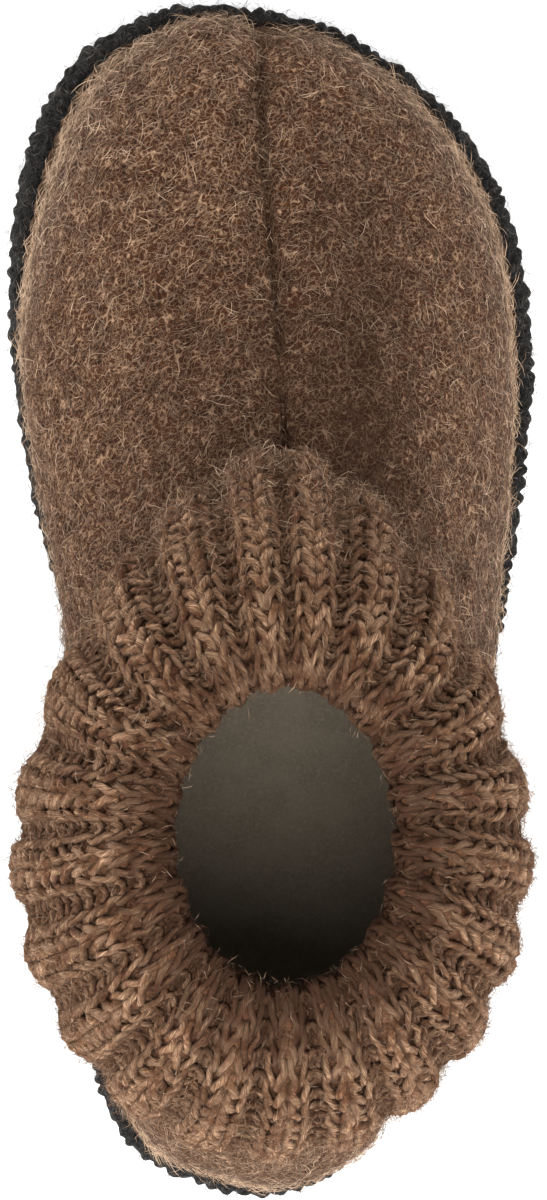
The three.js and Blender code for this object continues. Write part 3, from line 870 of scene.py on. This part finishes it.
def makeYarnTree():
    tree, inputs, outputs = newGroup(
        "yarnAlongPath", "GeometryNodeTree",
        [("Geometry", "NodeSocketGeometry", None), ("Sides", "NodeSocketInt", 6),
         ("Material", "NodeSocketMaterial", None)],
        [("Geometry", "NodeSocketGeometry")])
    curve = addNode(tree, "GeometryNodeMeshToCurve", {"Mesh": inputs.outputs["Geometry"]})
    travelled = addNode(tree, "GeometryNodeSplineParameter")
    lengthKept = addNode(tree, "GeometryNodeStoreNamedAttribute", {
        "Geometry": curve.outputs[0], "Name": "yarnLength", "Value": travelled.outputs["Length"]},
        data_type="FLOAT", domain="POINT")
    circle = addNode(tree, "GeometryNodeCurvePrimitiveCircle", {
        "Resolution": inputs.outputs["Sides"], "Radius": 1.0})
    roundabout = addNode(tree, "GeometryNodeSplineParameter")
    aroundKept = addNode(tree, "GeometryNodeStoreNamedAttribute", {
        "Geometry": circle.outputs[0], "Name": "yarnAround", "Value": roundabout.outputs["Factor"]},
        data_type="FLOAT", domain="POINT")
    thick = addNode(tree, "GeometryNodeInputNamedAttribute", {"Name": "thick"}, data_type="FLOAT")
    tube = addNode(tree, "GeometryNodeCurveToMesh", {
        "Curve": lengthKept.outputs[0], "Profile Curve": aroundKept.outputs[0], "Scale": thick.outputs[0]})
    smooth = addNode(tree, "GeometryNodeSetShadeSmooth", {"Geometry": tube.outputs[0]})
    real = addNode(tree, "GeometryNodeRealizeInstances", {"Geometry": smooth.outputs[0]})
    dressed = addNode(tree, "GeometryNodeSetMaterial", {
        "Geometry": real.outputs[0], "Material": inputs.outputs["Material"]})
    tree.links.new(dressed.outputs[0], outputs.inputs[0])
    return tree


streakLook = {"alongScale": 110.0, "detail": 3.0, "rough": 0.65, "clearFrom": 0.36, "clearTo": 0.62}


# Woollen yarn: streaks of fibre winding round it
def makeYarnStreaks():
    look = streakLook
    tree, inputs, outputs = newGroup(
        "yarnStreaks", "ShaderNodeTree",
        [("Length", "NodeSocketFloat", 0.0), ("Around", "NodeSocketFloat", 0.0),
         ("Shift", "NodeSocketFloat", 0.0), ("Twist", "NodeSocketFloat", 700.0),
         ("Fineness", "NodeSocketFloat", 3.8)],
        [("Mask", "NodeSocketFloat")])
    wind = math2(tree, "MULTIPLY_ADD", inputs.outputs["Length"], inputs.outputs["Twist"],
                 math2(tree, "MULTIPLY", inputs.outputs["Around"], 2 * math.pi))
    run = math2(tree, "MULTIPLY_ADD", inputs.outputs["Length"], look["alongScale"], inputs.outputs["Shift"])
    spot = addNode(tree, "ShaderNodeCombineXYZ", {
        0: math2(tree, "COSINE", wind), 1: math2(tree, "SINE", wind), 2: run})
    streak = addNode(tree, "ShaderNodeTexNoise", {
        "Vector": spot.outputs[0], "Scale": inputs.outputs["Fineness"], "Detail": look["detail"],
        "Roughness": look["rough"]})
    clear = addNode(tree, "ShaderNodeMapRange", {
        "Value": streak.outputs["Fac"], "From Min": look["clearFrom"], "From Max": look["clearTo"]})
    tree.links.new(clear.outputs[0], outputs.inputs["Mask"])
    return tree


yarnStreaks = makeYarnStreaks()
yarnLook = {"courseShift": 7.3, "patchScale": 210.0, "fleckScale": 1500.0, "bump": 1.0, "bumpHeight": 0.0005,
            "roughness": 0.9, "specular": 0.15, "sheen": 0.1, "sheenRough": 0.6,
            "sheenTint": (0.6, 0.36, 0.22, 1)}


def yarnMaterial(name, shadeTone, dark, middle, light):
    look = yarnLook
    material, tree, shader = startMaterial(name)
    where = addNode(tree, "ShaderNodeTexCoord").outputs["Object"]
    streaks = placeGroup(tree, yarnStreaks, {
        "Length": readFac(tree, "yarnLength"), "Around": readFac(tree, "yarnAround"),
        "Shift": math2(tree, "MULTIPLY", readFac(tree, "course"), look["courseShift"])})
    ground = placeGroup(tree, heather, {
        "Vector": where, "Dark": dark, "Middle": middle, "Light": middle,
        "Patch Scale": look["patchScale"], "Fleck Scale": look["fleckScale"]})
    pale = mixColour(tree, ground.outputs["Patch"], ground.outputs["Color"], light)
    colour = mixColour(tree, streaks.outputs["Mask"], dark, pale)
    # painted shade between the strands and down inside the opening, painted light where a strand faces outwards
    colour = mixColour(tree, readFac(tree, "lit"), shadeTone, colour)
    tree.links.new(colour, shader.inputs["Base Color"])
    addRelief(tree, shader, streaks.outputs["Mask"], look["bump"], look["bumpHeight"])
    setShader(shader, {
        "Roughness": look["roughness"], "Specular IOR Level": look["specular"], "Sheen Weight": look["sheen"],
        "Sheen Roughness": look["sheenRough"], "Sheen Tint": look["sheenTint"]})
    return material


# the first colour is the painted shade, the others the yarn's own tones
yarnBrown = yarnMaterial("yarnBrown", (0.068, 0.0255, 0.012, 1), (0.165, 0.067, 0.031, 1),
                         (0.55, 0.264, 0.13, 1), (0.9, 0.57, 0.35, 1))
# the base sheet's colour is painted shade: the yarn as it looks deep in the gaps
gapShadeBrown = feltMaterial("gapShadeBrown", {
    **feltLook, "dark": (0.085, 0.034, 0.016, 1), "middle": (0.14, 0.058, 0.028, 1),
    "light": (0.19, 0.083, 0.043, 1), "hair": (0.28, 0.145, 0.082, 1), "seed": 4.0, "sheen": 0.1})
cuffBase = addObject("cuffBase", makeCuffBase(), gapShadeBrown)
yarnTree = makeYarnTree()


# Marks on the yarn: how lit it is painted, and where fibres grow on it and along the hem
def markYarn(mesh):
    look = cuffLook
    out = readPoints(mesh.attributes["out"].data, "vector", 3)
    normal = readPoints(mesh.vertex_normals, "vector", 3)
    facing = (out * normal).reshape(-1, 3).sum(1)
    course = readPoints(mesh.attributes["course"].data, "value")
    crest = readPoints(mesh.attributes["crest"].data, "value")
    forward = (readPoints(mesh.vertices, "co", 3).reshape(-1, 3)[:, 1] - place[1]) / mm
    outside = smoothstep(*look["outsideOver"], facing)
    folded = smoothstep(*look["fuzzOver"], course)
    front = rising(look["hemSides"], smoothstep(*look["hemFront"], forward))
    outer = rising(look["innerFuzz"], folded) * (1 + look["frontFuzz"] * front * folded)
    # painted shade on the inner rim, most of all at the back
    back = rising(look["shadeFront"], smoothstep(*look["shadeBack"], forward))
    shade = look["innerShade"] * back * smoothstep(*look["shadeOver"], course)
    # painted shade in the furrows between ribs and on the sides of strands, painted light on their tops
    lit = rising(look["furrowLit"], crest)
    lit = lit * rising(look["sideLit"], smoothstep(*look["topOver"], facing))
    hem = front * smoothstep(*look["hemFrom"], course)
    # painted shade on the front of the hem, as part of the lit mark
    writeValues(mesh, "lit", lit * (1 - shade) * (1 - look["hemShade"] * hem))
    writeValues(mesh, "fuzz", outside**2 * outer)
    writeValues(mesh, "hem", outside * hem)
    mesh.attributes.remove(mesh.attributes["out"])


# A yarn along a path, as one piece
def spinYarn(name, path, sides, material):
    carrier = addObject(name + "Path", path)
    yarn = growOn(carrier, name, yarnTree, {"Sides": sides, "Material": material})
    bpy.data.objects.remove(carrier)
    markYarn(yarn.data)
    return yarn


outerFrom = -cuffLook["outerCourses"]
outerPath = makeYarnPath("cuffYarn", slice(outerFrom, None), cuffLook["pointsPerStitch"], True)
cuffYarn = spinYarn("cuffYarn", outerPath, cuffLook["yarnSides"], yarnBrown)
innerPath = makeYarnPath("cuffYarnInside", slice(outerFrom), cuffLook["insidePoints"])
cuffYarnInside = spinYarn("cuffYarnInside", innerPath, cuffLook["insideSides"], yarnBrown)

# Rim band

bandLook = {
    "columns": 1256, "rows": 14, "bareRows": 4, "innerHeights": (7.4, 4.0, 0.0), "bareInner": 2,
    # its outside, from the foot up and over: share of the way, inset and height
    "turns": (0, 0.2, 0.5, 0.8, 1), "insets": (0.6, 0, 0.4, 1.9, 3.6), "heights": (0, 2.2, 5.4, 7.6, 8.2),
    "strands": 157, "strandDepth": 1.9, "strandRound": 0.65, "strandOver": (0, 0.15), "sinkIn": 0.6,
    "sinkDown": 0.55, "slant": 0.9, "slantFrom": 0.3, "uneven": 0.8, "unevenSize": 11.0, "unevenSeed": 9,
    "wander": 0.85, "wanderSize": 7.0, "wanderSeed": 3, "grain": 0.6, "grainSize": 2.0, "grainSeed": 4,
}
wallSearch = {"top": 0.6, "halvings": 24}
feltBlack = feltMaterial("feltBlack", {
    **feltLook, "dark": (0.004, 0.0037, 0.0034, 1), "middle": (0.01, 0.0092, 0.0085, 1),
    "light": (0.03, 0.027, 0.025, 1), "hair": (0.11, 0.1, 0.092, 1), "fibreScale": 600.0, "fibreShow": 0.5,
    "seed": 11.0, "sheen": 0.08, "sheenTint": (0.4, 0.38, 0.36, 1)})


# Height on the upper's wall at a given z
def heightOnWall(share, z):
    low, high = np.zeros_like(share), np.full_like(share, wallSearch["top"])
    for _ in range(wallSearch["halvings"]):
        middle = (low + high) / 2
        under = upperAt(share, middle)[:, 2] < z
        low, high = np.where(under, middle, low), np.where(under, high, middle)
    return low


def makeBand():
    look = bandLook
    share = np.arange(look["columns"]) / look["columns"]
    bottom = sole["thickness"] + seatGap
    turn = np.linspace(0, 1, look["rows"])
    edge, outward = outlineAt(share, np.zeros_like(share))
    level = np.column_stack([edge, 0 * share])
    strand = look["strands"] * share + look["uneven"] * lumps(level, look["unevenSize"], look["unevenSeed"])
    loops = []
    # up and over the outside, with round strands lying slanting across it
    for step in turn:
        inset = np.interp(step, look["turns"], look["insets"])
        height = np.interp(step, look["turns"], look["heights"])
        lean = look["slant"] * smoothstep(look["slantFrom"], 1.0, step)
        bulge = np.abs(np.cos(np.pi * (strand + lean))) ** look["strandRound"]
        sunk = look["strandDepth"] * smoothstep(*look["strandOver"], step) * (1 - bulge)
        plan, _ = outlineAt(share, inset + sunk * (1 - look["sinkIn"] * step))
        z = bottom + springAt(plan[:, 1]) + height - look["sinkDown"] * sunk * step
        loops.append(np.column_stack([plan, z]))
    # then down along the upper
    foot = outlineAt(share, np.full(share.shape, footInset))[0]
    for height in look["innerHeights"]:
        z = bottom + springAt(foot[:, 1]) + height
        wall = upperAt(share, heightOnWall(share, z))
        loops.append(np.column_stack([wall[:, :2] + outward * band["stand"], z]))
    points = np.stack(loops, 1)
    rough = look["wander"] * lumps(points, look["wanderSize"], look["wanderSeed"])
    rough = rough + look["grain"] * lumps(points, look["grainSize"], look["grainSeed"], 1)
    rough[:, -len(look["innerHeights"]):] = 0
    rough[:, 0] = 0
    middle = points.mean(1, keepdims=True)
    away = points - middle
    away = away / np.linalg.norm(away, axis=-1, keepdims=True)
    fuzz = np.ones(points.shape[:2])
    fuzz[:, -look["bareInner"]:] = 0
    fuzz[:, :look["bareRows"]] = 0
    return ringMesh("rimBand", points + away * rough[..., None], {"fuzz": fuzz})


rimBand = addObject("rimBand", makeBand(), feltBlack)
print("rim band:", len(rimBand.data.polygons), "faces")

# Edge stitches: two brown strands crossing each other along the foot of the upper, just above the band

stitchLook = {"perStitch": 14, "runs": 78, "sway": 0.95, "depth": 0.55, "radius": 0.6, "above": 1.3,
              "proud": 0.2, "toeSink": 3.0, "toeSpan": 0.06, "firstCourse": 30}


def makeEdgeStitches():
    look = stitchLook
    count = look["runs"] * look["perStitch"]
    share = np.arange(count) / count
    footY = outlineAt(share, np.full(count, footInset))[0][:, 1]
    rim = sole["thickness"] + seatGap + springAt(footY) + band["height"]
    above = look["above"] - look["toeSink"] * bell(share - toeShare, look["toeSpan"])
    thick = np.full(count, look["radius"])
    runs = []
    for strand in (0, 1):
        turn = np.pi * (2 * np.arange(count) / look["perStitch"] + strand)
        height = heightOnWall(share, rim + above + look["sway"] * np.cos(turn))
        out = normalsOf(upperAt, share, height)
        spot = upperAt(share, height) + out * (look["proud"] + look["depth"] * np.sin(turn))[:, None]
        runs.append((look["firstCourse"] + strand, (spot, thick, out, np.ones(count))))
    return runsMesh("edgeStitches", runs)


# the first colour is the painted shade of the pale yarn
yarnPale = yarnMaterial("yarnPale", (0.045, 0.02, 0.01, 1), (0.13, 0.066, 0.036, 1), (0.28, 0.165, 0.098, 1),
                        (0.5, 0.34, 0.225, 1))
edgeStitches = spinYarn("edgeStitches", makeEdgeStitches(), cuffLook["yarnSides"], yarnPale)

# Insole and sole plates

plateColumns = 160
plateShares = np.arange(plateColumns) / plateColumns
# edges from below to above: inset, height and, for the sole, whether the level follows the hollow waist
insoleLook = {"across": 24, "edge": ((0, 0), (0, 3.1), (0.25, 3.8), (0.7, 4.25), (1.4, 4.5))}
soleLook = {"across": 16, "edge": (
    (1.1, 0.0, 1), (0.32, 0.32, 1), (0, 1.1, 1), (0, 3.6, 0), (0.18, 4.0, 0), (0.55, 4.2, 0))}


def plateLevel(inset, height, base, hollow=0.0):
    plan, _ = outlineAt(plateShares, np.full(plateColumns, inset))
    z = base + height + springAt(plan[:, 1]) + hollow * hollowAt(plan[:, 1])
    return np.column_stack([plan, z])


def makeInsole():
    inner = footInset + upperLook["wall"] + seatGap
    base = sole["thickness"] + seatGap
    levels = [plateLevel(inner + inset, height, base) for inset, height in insoleLook["edge"]]
    return plateMesh("insoleFelt", levels, insoleLook["across"])


def makeSole():
    outer = sole["inset"]
    levels = [plateLevel(outer + inset, height, 0, hollow) for inset, height, hollow in soleLook["edge"]]
    return plateMesh("soleRubber", levels, soleLook["across"])


feltGrey = feltMaterial("feltGrey", {
    **feltLook, "dark": (0.22, 0.18, 0.13, 1), "middle": (0.26, 0.215, 0.157, 1),
    "light": (0.29, 0.24, 0.175, 1), "hair": (0.38, 0.32, 0.24, 1), "patchHair": 0.0, "patchScale": 120.0,
    "fibreShow": 0.3, "bump": 0.25, "seed": 21.0, "sheen": 0.1})
rubberLook = {"dark": (0.008, 0.0078, 0.0075, 1), "dusty": (0.02, 0.019, 0.018, 1), "dustScale": 45.0,
              "dustDetail": 4.0, "roughFrom": 0.6, "roughTo": 0.85, "pebbleScale": 700.0, "bump": 0.4,
              "bumpHeight": 0.0004}


def rubberMaterial(name, look):
    material, tree, shader = startMaterial(name)
    where = addNode(tree, "ShaderNodeTexCoord").outputs["Object"]
    pebble = addNode(tree, "ShaderNodeTexVoronoi", {
        "Vector": where, "Scale": look["pebbleScale"]}, feature="SMOOTH_F1")
    dust = addNode(tree, "ShaderNodeTexNoise", {
        "Vector": where, "Scale": look["dustScale"], "Detail": look["dustDetail"]})
    colour = mixColour(tree, dust.outputs["Fac"], look["dark"], look["dusty"])
    tree.links.new(colour, shader.inputs["Base Color"])
    rough = addNode(tree, "ShaderNodeMapRange", {
        "Value": dust.outputs["Fac"], "To Min": look["roughFrom"], "To Max": look["roughTo"]})
    tree.links.new(rough.outputs[0], shader.inputs["Roughness"])
    addRelief(tree, shader, pebble.outputs["Distance"], look["bump"], look["bumpHeight"])
    return material


insoleFelt = addObject("insoleFelt", makeInsole(), feltGrey)
soleRubber = addObject("soleRubber", makeSole(), rubberMaterial("rubberBlack", rubberLook))
print("plates:", len(insoleFelt.data.polygons), len(soleRubber.data.polygons), "faces")

# Loose fibres on felt, yarn and band

# each kind: its thickness, as a share of its length, and how many segments it has
fibreSizes = {"long": (0.0085, 3), "short": (0.0135, 2)}
lengthSpread = 0.45
fibreHolders = {kind: makeFibreKinds(kind + "Fibre", *size) for kind, size in fibreSizes.items()}
fibreTree = makeFibreTree()
fibreBrown = fibreMaterial("fibreBrown", (0.066, 0.028, 0.0125, 1), (0.77, 0.55, 0.38, 1))
fibreBlack = fibreMaterial("fibreBlack", (0.006, 0.0055, 0.005, 1), (0.3, 0.27, 0.245, 1))
fibreKnit = fibreMaterial("fibreKnit", (0.1, 0.043, 0.0195, 1), (0.64, 0.43, 0.29, 1))
fuzzLook = {
    "upperFuzz": {
        "on": upperFelt, "kinds": "long", "count": 13000, "Length": 0.0056, "Lift": 0.42, "Seed": 3},
    "upperFuzzShort": {"on": upperFelt, "count": 28000, "Length": 0.0034, "Lift": 0.4, "Seed": 8},
    "cuffFuzz": {
        "on": cuffYarn, "count": 32500, "Length": 0.0028, "Lift": 0.35, "Seed": 5, "material": fibreKnit},
    "cuffFuzzLong": {
        "on": cuffYarn, "kinds": "long", "count": 3600, "Length": 0.0044, "Lift": 0.4, "Seed": 12,
        "material": fibreKnit},
    "hemFuzz": {
        "on": cuffYarn, "kinds": "long", "count": 3600, "Length": 0.0044, "Lift": 0.22, "Seed": 15,
        "Mask": "hem"},
    "bandFuzz": {
        "on": rimBand, "count": 5000, "Length": 0.0032, "Lift": 0.5, "Seed": 6, "material": fibreBlack},
}


# Area of a mesh, weighted by one of its masks
def areaUnder(mesh, mask):
    values = readPoints(mesh.attributes[mask].data, "value")
    return sum(face.area * values[list(face.vertices)].mean() for face in mesh.polygons)


fuzzPieces = {}
for name, look in fuzzLook.items():
    mask = look.get("Mask", "fuzz")
    fuzzPieces[name] = growOn(look["on"], name, fibreTree, {
        "Density": look["count"] / areaUnder(look["on"].data, mask), "Mask": mask, "Length": look["Length"],
        "Length Spread": lengthSpread, "Lift": look["Lift"], "Seed": look["Seed"],
        "Kinds": fibreHolders[look.get("kinds", "short")], "Material": look.get("material", fibreBrown)})
for holder in fibreHolders.values():
    for fibre in list(holder.objects):
        bpy.data.objects.remove(fibre)
    bpy.data.collections.remove(holder)

# Pieces ride on the shoe's one body and stand for their nodes

pieces = [
    (upperFelt, "upper", "felt_brown"), (fuzzPieces["upperFuzz"], "upper", "felt_brown"),
    (fuzzPieces["upperFuzzShort"], "upper", "felt_brown"), (edgeStitches, "upper", "felt_brown"),
    (cuffBase, "cuff", "knit_brown"), (cuffYarn, "cuff", "knit_brown"),
    (cuffYarnInside, "cuff", "knit_brown"), (fuzzPieces["cuffFuzz"], "cuff", "knit_brown"),
    (fuzzPieces["cuffFuzzLong"], "cuff", "knit_brown"), (fuzzPieces["hemFuzz"], "cuff", "knit_brown"),
    (rimBand, "rim_band", "felt_black"), (fuzzPieces["bandFuzz"], "rim_band", "felt_black"),
    (insoleFelt, "insole", "felt_grey"), (soleRubber, "outsole", "rubber_black"),
]
for piece, node, slot in pieces:
    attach(piece, "root")
    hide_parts(node)

# Floor, light and camera

stageLook = {"floorSize": 4.0, "floorTone": (0.9, 0.9, 0.9, 1), "floorRough": 0.9, "floorSpecular": 0.1,
             "floorGlow": 0.5, "zenith": 0.55, "horizon": 1.25, "skyFrom": 0.1, "skyTo": 0.9, "behind": 0.5,
             "lightAim": (0, 0, 0.05)}
# each light: its place, size and power
lightsLook = {
    "keyLight": ((-0.1, -0.5, 1.6), 0.9, 21.0),
    "heelLight": ((0.25, -1.4, 0.8), 1.2, 5.5),
    "leftLight": ((-1.5, 0.15, 0.7), 1.2, 9.5),
    "rightLight": ((1.5, 0.0, 0.7), 1.2, 5.0),
}


def makeFloor():
    half = stageLook["floorSize"] / 2
    mesh = bpy.data.meshes.new("floor")
    corners = [(-half, -half, 0), (half, -half, 0), (half, half, 0), (-half, half, 0)]
    mesh.from_pydata(corners, [], [(0, 1, 2, 3)])
    material, _, shader = startMaterial("floorPale")
    setShader(shader, {
        "Base Color": stageLook["floorTone"], "Roughness": stageLook["floorRough"],
        "Specular IOR Level": stageLook["floorSpecular"], "Emission Color": (1, 1, 1, 1),
        "Emission Strength": stageLook["floorGlow"]})
    addObject("floor", mesh, material)


def addArea(name, spot, size, power):
    light = bpy.data.lights.new(name, "AREA")
    light.size = size
    light.energy = power
    obj = bpy.data.objects.new(name, light)
    scene.collection.objects.link(obj)
    obj.location = spot
    obj.rotation_euler = (Vector(stageLook["lightAim"]) - Vector(spot)).to_track_quat("-Z", "Y").to_euler()


makeFloor()
for name, settings in lightsLook.items():
    addArea(name, *settings)


# A light tent: brighter walls, a dimmer top, and more light behind the heel than before the toe
def makeWorld():
    world = bpy.data.worlds.new("lightTent")
    scene.world = world
    world.use_nodes = True
    tree = world.node_tree
    where = addNode(tree, "ShaderNodeTexCoord").outputs["Generated"]
    toSky = addNode(tree, "ShaderNodeSeparateXYZ", {0: where})
    strength = addNode(tree, "ShaderNodeMapRange", {
        "Value": toSky.outputs[2], "From Min": stageLook["skyFrom"], "From Max": stageLook["skyTo"],
        "To Min": stageLook["horizon"], "To Max": stageLook["zenith"]})
    leaning = math2(tree, "MULTIPLY_ADD", toSky.outputs[1], -stageLook["behind"], 1.0)
    leaning = math2(tree, "MULTIPLY", leaning, strength.outputs[0])
    # the backdrop itself is seen as white
    seen = addNode(tree, "ShaderNodeLightPath").outputs["Is Camera Ray"]
    leaning = math2(tree, "MAXIMUM", leaning, seen)
    tree.links.new(leaning, tree.nodes["Background"].inputs["Strength"])
    tree.nodes["Background"].inputs["Color"].default_value = (1, 1, 1, 1)


makeWorld()
scene.view_settings.view_transform = "Standard"

# The photo looks straight down from slightly to the inner side, toe up
cameraLook = {"spot": (-80.0, 0.0, 1000.0), "aim": (0.56, 0.0, 0.0), "frameHeight": 0.2703, "sensor": 36.0,
              "clipStart": 0.01}


def addCamera():
    look = cameraLook
    camera = bpy.data.cameras.new("camera")
    obj = bpy.data.objects.new("camera", camera)
    scene.collection.objects.link(obj)
    spot, aim = (Vector(np.array(look[key]) * mm + place) for key in ("spot", "aim"))
    back = (spot - aim).normalized()
    right = Vector((0, 1, 0)).cross(back).normalized()
    up = back.cross(right)
    obj.matrix_world = Matrix.Translation(spot) @ Matrix((right, up, back)).transposed().to_4x4()
    camera.sensor_width = look["sensor"]
    camera.lens = look["sensor"] * (spot - aim).length / look["frameHeight"]
    camera.clip_start = look["clipStart"]
    scene.camera = obj


addCamera()
